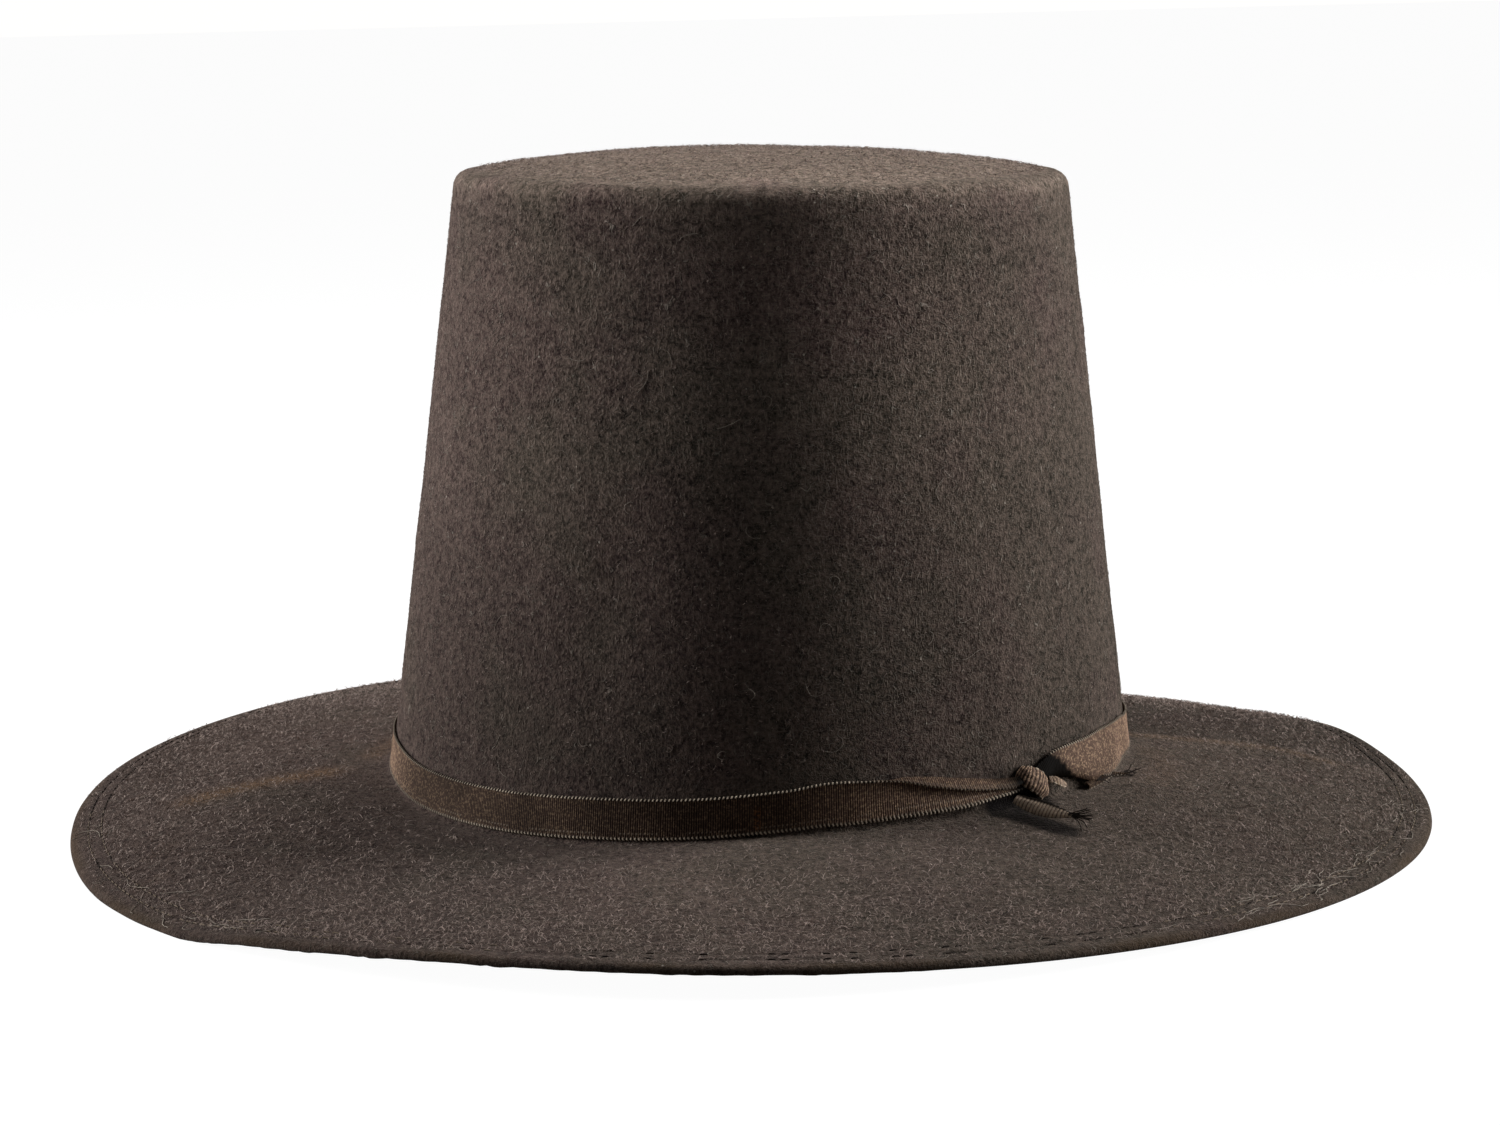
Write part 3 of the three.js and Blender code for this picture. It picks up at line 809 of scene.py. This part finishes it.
def ribbonSection(angle):
    turn = (angle + 180) % 360 - 180
    if turn <= ribbonFolds[0][0] or turn >= ribbonFolds[-1][0]:
        low, high = around(ribbonFlat, "low", angle), around(ribbonFlat, "high", angle)
        flat = [(0.6, mix(low, high, i / 6)) for i in range(7)]
        # soft blend into the folded stretch
        for end, reach in ((ribbonFolds[0], -8), (ribbonFolds[-1], 8)):
            share = (turn - end[0]) / reach
            if 0 <= share < 1:
                share = smooth(0, 1, share)
                flat = [(mix(a[0], b[0], share), mix(a[1], b[1], share)) for a, b in zip(end[1], flat)]
        return flat
    index = max(i for i, (place, section) in enumerate(ribbonFolds) if place <= turn)
    rows = [ribbonFolds[clamp(index + step, 0, len(ribbonFolds) - 1)] for step in (-1, 0, 1, 2)]
    places = [row[0] for row in rows]
    share = (turn - places[1]) / (places[2] - places[1])
    spans = [max(places[i + 1] - places[i], 0.001) for i in range(3)]
    section = []
    for point in range(7):
        values = [[row[1][point][axis] for row in rows] for axis in (0, 1)]
        section.append(tuple(hermite(*column, *spans, share) for column in values))
    return section


# Place on the ribbon: angle, share of the width from below, distance in front of its middle layer
def ribbonPoint(angle, share, front, section):
    middle = along(section, share)
    ahead = along(section, share + 0.02) - along(section, share - 0.02)
    normal = Vector((ahead[1], -ahead[0])).normalized()
    out, level = middle + normal * front
    return crownPoint(angle, out, level)


def ribbonLayers(bm):
    labels = ("rib", "cord", "worn", "paintedRibbonShade", "fade")
    for label in labels:
        bm.verts.layers.float.new(label)
    return [bm.verts.layers.float[label] for label in labels]


def makeRibbon():
    bm = bmesh.new()
    radius = 100.0
    half = ribbon["thickness"] / 2
    width = ribbon["width"]
    levels = [0.2, 0.5, 0.9, 1.3, ribbon["dotLevel"], 1.9, 3.0, 4.4, 5.8, 7.2, 8.3, 8.9, 9.3, 9.6]
    vert = bm.verts.new((radius, 0, 0))
    first = vert
    for level in levels:
        vert = lineTo(bm, vert, (radius + half, level))
    vert = lineTo(bm, vert, (radius, width))
    for level in (9.4, 6.6, 3.2, 0.4):
        vert = lineTo(bm, vert, (radius - half, level))
    bm.edges.new((vert, first))
    steps = ribbon["ribs"] * ribbon["stepsToRib"]
    spinRound(bm, steps)
    ribLayer, cordLayer, wornLayer, paintedRibbonShadeLayer, toneAndLightLayer = ribbonLayers(bm)
    sections = [ribbonSection(360 * step / steps) for step in range(steps)]
    loopSteps = ribbon["stepsToRib"] * ribbon["cordRibs"]
    for vert in bm.verts:
        angle = turnOf(vert.co)
        step = round(angle / 360 * steps) % steps
        share = vert.co.z / width
        front = math.hypot(vert.co.x, vert.co.y) - radius
        crest = 0.5 + 0.5 * math.cos(math.tau * step / ribbon["stepsToRib"])
        fromEdge = min(vert.co.z, width - vert.co.z)
        loop = 0.5 + 0.5 * math.cos(math.tau * (step / loopSteps + 0.6 * fromEdge))
        cord = smooth(0.8, 0.4, fromEdge) if share < 0.5 else smooth(0.5, 0.2, fromEdge)
        dotted = abs(vert.co.z - ribbon["dotLevel"]) < 0.1 and loop > 0.6
        dot = ribbon["dotPale"] * (dotted and noise.noise((angle * 0.2, 1, 7)) > -0.1)
        side = 1 if front > 0.01 else (-1 if front < -0.01 else 0)
        front += side * ribbon["ribDepth"] * (crest - 0.5) * 2 * (1 - cord)
        front += side * ribbon["beadSwell"] * cord * loop
        if fromEdge < 0.01:
            grow = ribbon["cordSwell"] * loop / width
            share += grow if share > 0.5 else -grow
        wave = 0.25 * noise.noise(Vector((angle * 0.11, 5, 2)))
        place = ribbonPoint(angle, clamp(share, 0.0, 1.0), front + 0.12 * wave, sections[step])
        if share < 0 or share > 1:
            over = (share if share < 0 else share - 1) * width
            inner, outer = (0.98, 1) if share > 0.5 else (0, 0.02)
            edgeRun = along(sections[step], outer) - along(sections[step], inner)
            out, level = edgeRun.normalized() * over
            turn = math.radians(angle)
            place += Vector((out * math.cos(turn), out * math.sin(turn), level))
        vert.co = place
        turn = (angle + 180) % 360 - 180
        vert[ribLayer] = crest * (1 - 0.95 * cord)
        # its edge is pale at the knot's side and rubbed dull elsewhere
        pale = mix(0.4, 1.0, smooth(-160, -120, turn) * smooth(-10, -50, turn))
        vert[cordLayer] = pale * max(cord * loop ** 3, dot)
        seam = abs(angle - ribbon["seamAngle"]) < ribbon["seamHalf"]
        vert[wornLayer] = 0.5 if seam and 0.1 < share < 0.6 else 0.0
        # painted shade where the band is folded away beside the knot
        beside = turn - mix(-34.6, -42.6, clamp(share))
        vert[paintedRibbonShadeLayer] = smooth(-52.5, -50, turn) * smooth(0.6, -0.3, beside)
        # painted highlight, most on either side of the knot and at the front of the hat
        front = abs((turn + 360) % 360 - 180)
        fade = ribbon["fade"] + ribbon["highlightFront"] * smooth(30, 8, front)
        fade += ribbon["highlightBehindKnot"] * smooth(-46, -38, turn) * smooth(30, 0, turn)
        fade += ribbon["highlightBeforeKnot"] * smooth(-90, -72, turn) * smooth(-51, -58, turn)
        vert[toneAndLightLayer] = fade
    finishPiece(bm, "hatRibbon", ribbonMaterial, ["ribbon_band"])


makeRibbon()


# Knot and free ends: strips of the same ribbon, each along a path and rounded across

def localFrame(angle, out, level):
    centre = crownPoint(angle, out, level)
    forward = (crownPoint(angle + 0.5, out, level) - crownPoint(angle - 0.5, out, level)).normalized()
    outward = (crownPoint(angle, out + 1, level) - centre).normalized()
    upward = forward.cross(outward).normalized()
    upward = upward if upward.z > 0 else -upward
    outward = (outward - forward * outward.dot(forward)).normalized()
    frameMatrix = Matrix((forward, outward, upward)).transposed().to_4x4()
    frameMatrix.translation = centre
    return frameMatrix


upright = Matrix.Identity(4)
knotPlace = localFrame(-46.6, 0.0, 9.7)

# Path, then width, roll and turn of the section at even shares of it. The core is what the strip bends
# round,
# "pale" is how much its ribs are made pale, rubbed and on the lower end a painted highlight, "fade" is a
# painted highlight that brightens the strip, and the last key is how far across it stays free of painted
# shade, with -1 and 1 at its edges.
strips = {
    "wrap": {
        "place": knotPlace,
        "path": [(-4.2, 0.3, 2.9), (-2.9, 2.7, 2.3), (0.4, 4.2, 0.5),
                 (3.0, 4.3, -1.7), (4.5, 2.9, -3.6), (4.4, 0.8, -4.4)],
        "core": (0.5, -0.5, -0.3),
        "width": [5.0, 6.6, 7.2, 7.0, 5.8, 4.4],
        "roll": [100, 100, 96, 96, 100, 110],
        "facing": [-14, -14, -14, -14, -10, 0],
        "ribs": 18,
        "crumple": 0.34,
        "fade": 3.0,
        "pale": 0.06,
        "unshaded": 2.0,
    },
    "turn": {
        "place": knotPlace,
        "path": [(4.4, 2.8, 0.2), (6.6, 3.5, -0.4), (8.8, 3.3, -1.5), (10.8, 2.3, -2.6)],
        "core": (6.0, 0.0, -3.5),
        "width": [2.6, 3.4, 3.0, 1.2],
        "roll": [90, 90, 100, 130],
        "facing": [-26, -26, -26, -26],
        "ribs": 9,
        "crumple": 0.3,
        "fade": 2.0,
        "pale": 0.22,
        "unshaded": 2.0,
    },
    # painted highlight on the lower end through its fade and pale, and painted shade of the knot on its
    # upper half
    "lower": {
        "place": upright,
        "path": [(64.0, -70.0, 7.0), (68.5, -73.6, 6.3), (73.0, -76.4, 5.5), (77.5, -79.1, 4.7)],
        "core": None,
        "width": [3.0, 5.2, 4.6, 1.0],
        "roll": [120, 110, 115, 150],
        "facing": [-30, -30, -28, -30],
        "ribs": 18,
        "crumple": 0.14,
        "fade": 5.6,
        "pale": 0.8,
        "unshaded": 0.3,
    },
    "upper": {
        "place": upright,
        "path": [(84.6, -50.6, 5.3), (88.2, -44.4, 5.2), (91.8, -38.8, 5.4), (96.2, -36.2, 4.6)],
        "core": None,
        "width": [2.6, 2.4, 1.8, 0.7],
        "roll": [150, 140, 150, 170],
        "facing": [-50, -40, -30, -30],
        "ribs": 26,
        "crumple": 0.14,
        "fade": 0.8,
        "pale": 0.0,
        "unshaded": 2.0,
    },
}


stripThickness = 0.36
stripColumns = 18


def addStrip(bm, strip, layers):
    rows = strip["ribs"] * 4
    grid = bmesh.ops.create_grid(bm, x_segments=rows, y_segments=stripColumns, size=0.5)
    ribLayer, cordLayer, wornLayer, paintedRibbonShadeLayer, toneAndLightLayer = layers
    for vert in grid["verts"]:
        share, over = vert.co.x + 0.5, vert.co.y * 2
        step = round(share * rows)
        crest = 0.5 + 0.5 * math.cos(math.tau * step / 4)
        loop = 0.5 + 0.5 * math.cos(math.tau * step / 8)
        centre = along(strip["path"], share)
        ahead = (along(strip["path"], share + 0.02) - along(strip["path"], share - 0.02)).normalized()
        outward = centre - Vector(strip["core"]) if strip["core"] else Vector((0, 0, 1))
        across = outward.cross(ahead).normalized()
        up = ahead.cross(across)
        roll = math.radians(valueAt(strip["roll"], share))
        facing = math.radians(valueAt(strip["facing"], share))
        bend = facing + over * roll / 2
        edge = smooth(0.8, 0.95, abs(over))
        radius = valueAt(strip["width"], share) / roll
        relief = 0.18 * (crest - 0.5) * (1 - edge) + 0.18 * edge * loop
        relief += strip["crumple"] * noise.noise(Vector((share * 4, over * 2.2, strip["ribs"])))
        point = centre + (across * math.sin(bend) + up * math.cos(bend)) * (radius + relief)
        point -= (across * math.sin(facing) + up * math.cos(facing)) * radius
        vert.co = strip["place"] @ point
        vert[ribLayer] = crest * (1 - 0.4 * edge)
        vert[cordLayer] = max(edge * loop ** 3, strip["pale"] * crest)
        vert[wornLayer] = 0.0
        # painted shade across the strip beyond the reach kept free of it
        vert[paintedRibbonShadeLayer] = smooth(-0.35, 0.1, over - strip["unshaded"])
        # painted highlight set by the strip's fade
        vert[toneAndLightLayer] = strip["fade"]
    faces = {face for vert in grid["verts"] for face in vert.link_faces}
    bmesh.ops.recalc_face_normals(bm, faces=list(faces))
    bmesh.ops.solidify(bm, geom=list(faces), thickness=stripThickness)


def makeStrips(name, chosen, replaced):
    bm = bmesh.new()
    layers = ribbonLayers(bm)
    for strip in chosen:
        addStrip(bm, strips[strip], layers)
    finishPiece(bm, name, ribbonMaterial, [replaced])


makeStrips("ribbonKnot", ["wrap", "turn"], "ribbon_knot")
makeStrips("lowerTail", ["lower"], "ribbon_tail_lower")
makeStrips("upperTail", ["upper"], "ribbon_tail_upper")


# Threads: fraying, stitching and lint, as thin curves

def threadCurve(name, lines, thickness, material, sides=1):
    data = bpy.data.curves.new(name, "CURVE")
    data.dimensions = "3D"
    data.bevel_depth = thickness * 0.0005
    data.bevel_resolution = sides
    data.use_fill_caps = True
    for points in lines:
        spline = data.splines.new("POLY")
        spline.points.add(len(points) - 1)
        for target, point in zip(spline.points, points):
            place = toMetres @ Vector(point)
            place.z = max(place.z, 0.00012)      # nothing sinks below what the hat rests on
            target.co = (*place, 1)
    data.materials.append(material)
    dress(link(name, data))
    print(name, len(lines), "threads")


def fray(start, direction, length, count, spread):
    lines = []
    for index in range(count):
        point = Vector(start) + smallVector(0.5)
        heading = Vector(direction).normalized() + smallVector(spread)
        bend = smallVector(0.12)
        line = [tuple(point)]
        for step in range(7):
            heading = (heading + bend + smallVector(0.16)).normalized()
            point = point + heading * length * random.uniform(0.7, 1.1) / 7
            line.append(tuple(point))
        lines.append(line)
    return lines


# Yarns at the tip of the lower end, at the tip of the upper one, and along the upper one
frayed = [
    {"start": (76.6, -78.9, 4.8), "direction": (0.97, 0.02, -0.06),
     "length": 6.4, "count": 12, "spread": 0.04},
    {"start": (95.6, -36.4, 4.7), "direction": (0.8, 0.5, -0.02),
     "length": 4.5, "count": 8, "spread": 0.1},
    {"start": (87.0, -46.4, 5.2), "direction": (0.5, 0.8, 0.02),
     "length": 8.0, "count": 4, "spread": 0.12},
]
frays = [line for yarns in frayed for line in fray(**yarns)]
threadCurve("ribbonFray", frays, 0.26, darkThread)


def stitchLines(row, steps, under=False):
    lines = []
    for step in range(0, steps, 2):
        angle = 360 * step / steps
        ends = []
        for portion, rise in ((0.16, -0.12), (0.3, 0.08), (0.62, 0.08), (0.76, -0.12)):
            above = -hat["feltThickness"] - rise if under else rise
            ends.append(tuple(onBrim(angle + 720 / steps * portion, hat["brimReach"] - row, above)))
        lines.append(ends)
    return lines


def splitStitches(lines):
    dark, tan = [], []
    for index, line in enumerate(lines):
        angle = turnOf(Vector(line[0]))
        front = -176 < angle < -112 or -56 < angle < -2
        pale = front and noise.noise(Vector((angle * 0.25, len(lines), 4))) > -0.25
        hidden = 0.4 * smooth(48, 30, abs(angle + 90))
        gone = noise.noise(Vector((angle * 0.5, 9, 4))) > 0.3 - hidden
        if not gone:
            (tan if pale else dark).append(line)
    return dark, tan


darkLines, tanLines = [], []
for rowDistance in felt["stitchRows"]:
    for under in (False, True):
        dark, tan = splitStitches(stitchLines(rowDistance, felt["steps"], under=under))
        darkLines += dark
        tanLines += tan
threadCurve("darkStitches", darkLines, 0.3, darkThread)
threadCurve("tanStitches", tanLines, 0.26, tanThread)


# Curly hair that lies on the felt: a walk over the surface, whose places are given by two lengths
def walk(place, length, pieces, curl, heading=None):
    heading = random.uniform(0, math.tau) if heading is None else heading
    first = second = 0.0
    line = []
    for step in range(pieces + 1):
        line.append(place(first, second))
        first += length / pieces * math.cos(heading)
        second += length / pieces * math.sin(heading)
        heading += curl + random.uniform(-0.4, 0.4)
    return line


def hairPlace(kind, lift):
    angle = random.uniform(-180, 180)
    if kind == "brim":
        out = math.sqrt(random.uniform(0.002, 0.97)) * hat["brimReach"] * 0.99
        return lambda a, b: onBrim(angle + math.degrees(a / (90 + out)), clamp(out + b, 2.5, 83.0), lift)
    if kind == "side":
        level = random.uniform(16, 154)
        return lambda a, b: onSide(angle + math.degrees(a / 85), level + b, lift)
    reach = math.sqrt(random.uniform(0.0, 1.0)) * 75
    return lambda a, b: onTip(angle + math.degrees(a / max(reach, 5)), abs(reach + b), lift)


lint = []
for index in range(500):
    kind = random.choice(("brim", "brim", "side", "side", "tip"))
    hair = walk(hairPlace(kind, 0.12), random.uniform(2.5, 7), 6, random.uniform(-0.7, 0.7))
    lint.append([tuple(point) for point in hair])
threadCurve("feltLint", lint, 0.1, lintMaterial, sides=0)


# Loose curly ends of thread beside the stitching, at the back on the knot's side and at the front
def looseEnds(start, end, count):
    lines = []
    for index in range(count):
        angle = random.uniform(start, end)
        out = hat["brimReach"] - random.uniform(3.5, 11)

        def place(a, b):
            return onBrim(angle + math.degrees(a / (90 + out)), clamp(out + b, 60.0, 82.8), 0.16)

        heading = random.choice((0, math.pi)) + random.uniform(-0.5, 0.5)
        ends = walk(place, random.uniform(4, 14), 10, random.uniform(-0.12, 0.12), heading)
        lines.append([tuple(point) for point in ends])
    return lines


loose = looseEnds(-52, -6, 46) + looseEnds(-172, -128, 14)
threadCurve("looseThread", loose, 0.18, lintMaterial, sides=0)


# Nap: short single fibres that stand out of the felt, each a tapering blade of two faces
naps = {
    "brimNap": {
        "kind": "brim", "count": 48000, "length": (0.6, 1.7), "width": (0.06, 0.1), "rise": (0.15, 0.75),
    },
    "sideNap": {
        "kind": "side", "count": 30000, "length": (0.35, 0.9), "width": (0.03, 0.06), "rise": (0.02, 0.1),
    },
    "tipNap": {
        "kind": "tip", "count": 12000, "length": (0.5, 1.3), "width": (0.06, 0.1), "rise": (0.1, 0.5),
    },
}


# Nap is rubbed away along the stitching, and left out where the painted shadow lies
def clearOf(line):
    toEdge = [(line[i] - onBrim(turnOf(line[i]), hat["brimReach"])).xy.length for i in (0, 2)]
    if any(abs(far - row) < 0.7 for far in toEdge for row in felt["stitchRows"]):
        return False
    x, y = line[0].xy
    return all(farFrom(shadowed["path"], x, y) - shadowed["wide"] > 1 for shadowed in shadowLines)


def makeNap(name, nap):
    verts, faces = [], []
    for index in range(nap["count"]):
        length, width, rise = (random.uniform(*nap[label]) for label in ("length", "width", "rise"))
        line = walk(hairPlace(nap["kind"], 0.04), length, 2, random.uniform(-1.2, 1.2))
        if nap["kind"] == "brim" and not clearOf(line):
            continue
        outward = Vector((0, 0, 1))
        if nap["kind"] == "side":
            outward = Vector((line[0].x, line[0].y, 0)).normalized()
        line[1] += outward * rise
        line[2] += outward * rise * random.uniform(0.3, 1.6)
        tilt = smallVector(1)
        base = len(verts)
        for point, share in zip(line, (1.0, 0.8, 0.3)):
            aside = (line[2] - line[0]).cross(tilt).normalized() * width * share
            verts += [toMetres @ (point - aside), toMetres @ (point + aside)]
        faces += [(base, base + 1, base + 3, base + 2), (base + 2, base + 3, base + 5, base + 4)]
    mesh = bpy.data.meshes.new(name)
    mesh.from_pydata(verts, [], faces)
    mesh.materials.append(napMaterial)
    dress(link(name, mesh))
    print(name, len(faces), "faces")


for name, nap in naps.items():
    makeNap(name, nap)


# Floor, light and camera

studio = {
    "floorHalf": 60,
    "floorGap": 0.0002,
    "floorGlow": 0.965,            # seen by the camera alone, so that the floor is near white
    "worldGlow": 0.97,             # the same for the world
    "worldFill": 0.045,
    "aim": (0, 0, 0.08),
}
lights = {
    "leftSoftbox": {"place": (-1.4, 0.1, 0.42), "size": (0.5, 0.9), "power": 27},
    "rightSoftbox": {"place": (1.4, 0.07, 0.42), "size": (0.5, 0.9), "power": 27.5},
    "overhead": {"place": (0.0, 0.25, 1.5), "size": (1.2, 1.0), "power": 5},
}
# The camera as fitted to the photo: place over the upright hat in millimetres, tilt down in radians
shot = {
    "place": (-2.9, -850, 214),
    "tilt": 0.186,
    "sensor": 36,
    "photoWidth": 1500,            # pixels
    "photoLens": 3195,             # focal length in the same pixels
}


def makeFloor():
    bm = bmesh.new()
    bmesh.ops.create_grid(bm, x_segments=2, y_segments=2, size=studio["floorHalf"])
    mesh = bpy.data.meshes.new("floor")
    bm.to_mesh(mesh)
    bm.free()
    floor = link("floor", mesh)
    floor.location.z = -studio["floorGap"]
    material = bpy.data.materials.new("paleFloor")
    material.use_nodes = True
    tree = material.node_tree
    shader = tree.nodes["Principled BSDF"]
    shader.inputs["Roughness"].default_value = 0.9
    shader.inputs["Specular IOR Level"].default_value = 0.0
    shader.inputs["Base Color"].default_value = (0.14, 0.14, 0.14, 1)
    glow = addNode(tree, "Emission")
    seen = addNode(tree, "LightPath")
    added = addNode(tree, "AddShader")
    strength = times(tree, seen.outputs["Is Camera Ray"], studio["floorGlow"])
    wire(tree, strength, glow.inputs["Strength"])
    wire(tree, shader.outputs[0], added.inputs[0])
    wire(tree, glow.outputs[0], added.inputs[1])
    wire(tree, added.outputs[0], tree.nodes["Material Output"].inputs["Surface"])
    mesh.materials.append(material)


def makeWorld():
    world = bpy.data.worlds.new("studio")
    bpy.context.scene.world = world
    world.use_nodes = True
    tree = world.node_tree
    background = tree.nodes["Background"]
    background.inputs["Color"].default_value = (1, 0.99, 0.98, 1)
    seen = addNode(tree, "LightPath")
    toCamera = times(tree, seen.outputs["Is Camera Ray"], studio["worldGlow"])
    strength = sums(tree, "ADD", toCamera, studio["worldFill"])
    wire(tree, strength, background.inputs["Strength"])


def makeLights():
    for name, light in lights.items():
        data = bpy.data.lights.new(name, "AREA")
        data.shape = "RECTANGLE"
        data.size, data.size_y = light["size"]
        data.energy = light["power"]
        lamp = link(name, data)
        lamp.location = light["place"]
        ahead = Vector(studio["aim"]) - lamp.location
        lamp.rotation_euler = ahead.to_track_quat("-Z", "Y").to_euler()


def makeCamera():
    data = bpy.data.cameras.new("camera")
    data.sensor_width = shot["sensor"]
    data.lens = shot["sensor"] * shot["photoLens"] / shot["photoWidth"]
    data.clip_end = 200
    camera = link("camera", data)
    standing = Matrix.Translation(shot["place"]) @ Matrix.Rotation(math.pi / 2 - shot["tilt"], 4, "X")
    placed = toRow @ standing
    placed.translation *= 0.001
    camera.matrix_world = placed
    bpy.context.scene.camera = camera


makeFloor()
makeWorld()
makeLights()
makeCamera()
bpy.context.scene.view_settings.view_transform = "Standard"

bpy.context.view_layer.update()
